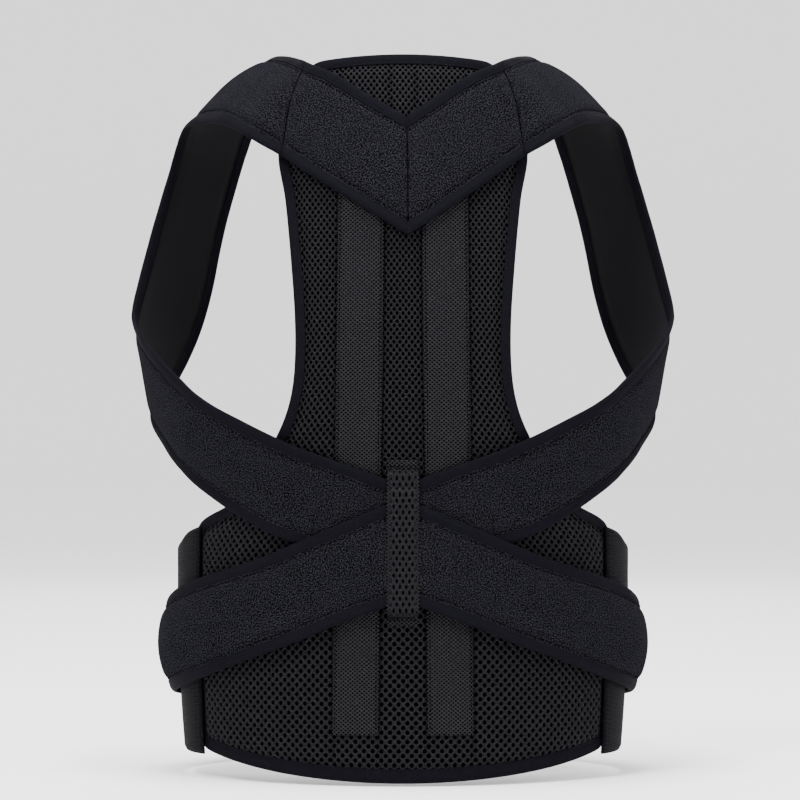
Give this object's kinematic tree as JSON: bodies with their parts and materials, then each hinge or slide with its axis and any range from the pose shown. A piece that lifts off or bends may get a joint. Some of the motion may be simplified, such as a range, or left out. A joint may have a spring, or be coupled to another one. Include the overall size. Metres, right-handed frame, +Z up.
{
  "type": "posture corrector",
  "caption": "Worn posture corrector: padded mesh back panel, V yoke, looped shoulder straps, crossed waist straps and a front closing elastic belt.",
  "frame": {"origin": "midway between the shoulders, at the height where the straps lie on them", "axes": "+X the wearer's right, +Y the wearer's front, +Z up"},
  "size_m": [0.377, 0.2372, 0.4893],
  "materials": {
    "brushed_loop": "brushed loop cloth over foam, near black",
    "spacer_mesh": "coarse knitted spacer mesh with open holes",
    "pocket_mesh": "finer and denser knitted mesh",
    "edge_tape": "smooth woven edge tape with a stitch row",
    "elastic": "fine ribbed elastic",
    "hook_tape": "matt hook tape"
  },
  "bodies": {
    "root": {"back_panel": "spacer_mesh", "panel_tape": "edge_tape", "stay_pocket_left": "pocket_mesh", "stay_pocket_right": "pocket_mesh", "yoke_left": "brushed_loop", "yoke_right": "brushed_loop", "yoke_top_tape": "edge_tape", "yoke_bottom_tape": "edge_tape", "shoulder_strap_left": "brushed_loop", "shoulder_strap_right": "brushed_loop", "strap_arm_tape_left": "edge_tape", "strap_arm_tape_right": "edge_tape", "strap_neck_tape_left": "edge_tape", "strap_neck_tape_right": "edge_tape", "waist_strap_left": "brushed_loop", "waist_strap_right": "brushed_loop", "waist_top_tape_left": "edge_tape", "waist_top_tape_right": "edge_tape", "waist_bottom_tape_left": "edge_tape", "waist_bottom_tape_right": "edge_tape", "strap_hook_left": "hook_tape", "strap_hook_right": "hook_tape", "belt_wing_left": "elastic", "belt_wing_right": "elastic", "belt_hook": "hook_tape", "keeper_loop": "pocket_mesh"}
  },
  "joints": []
}
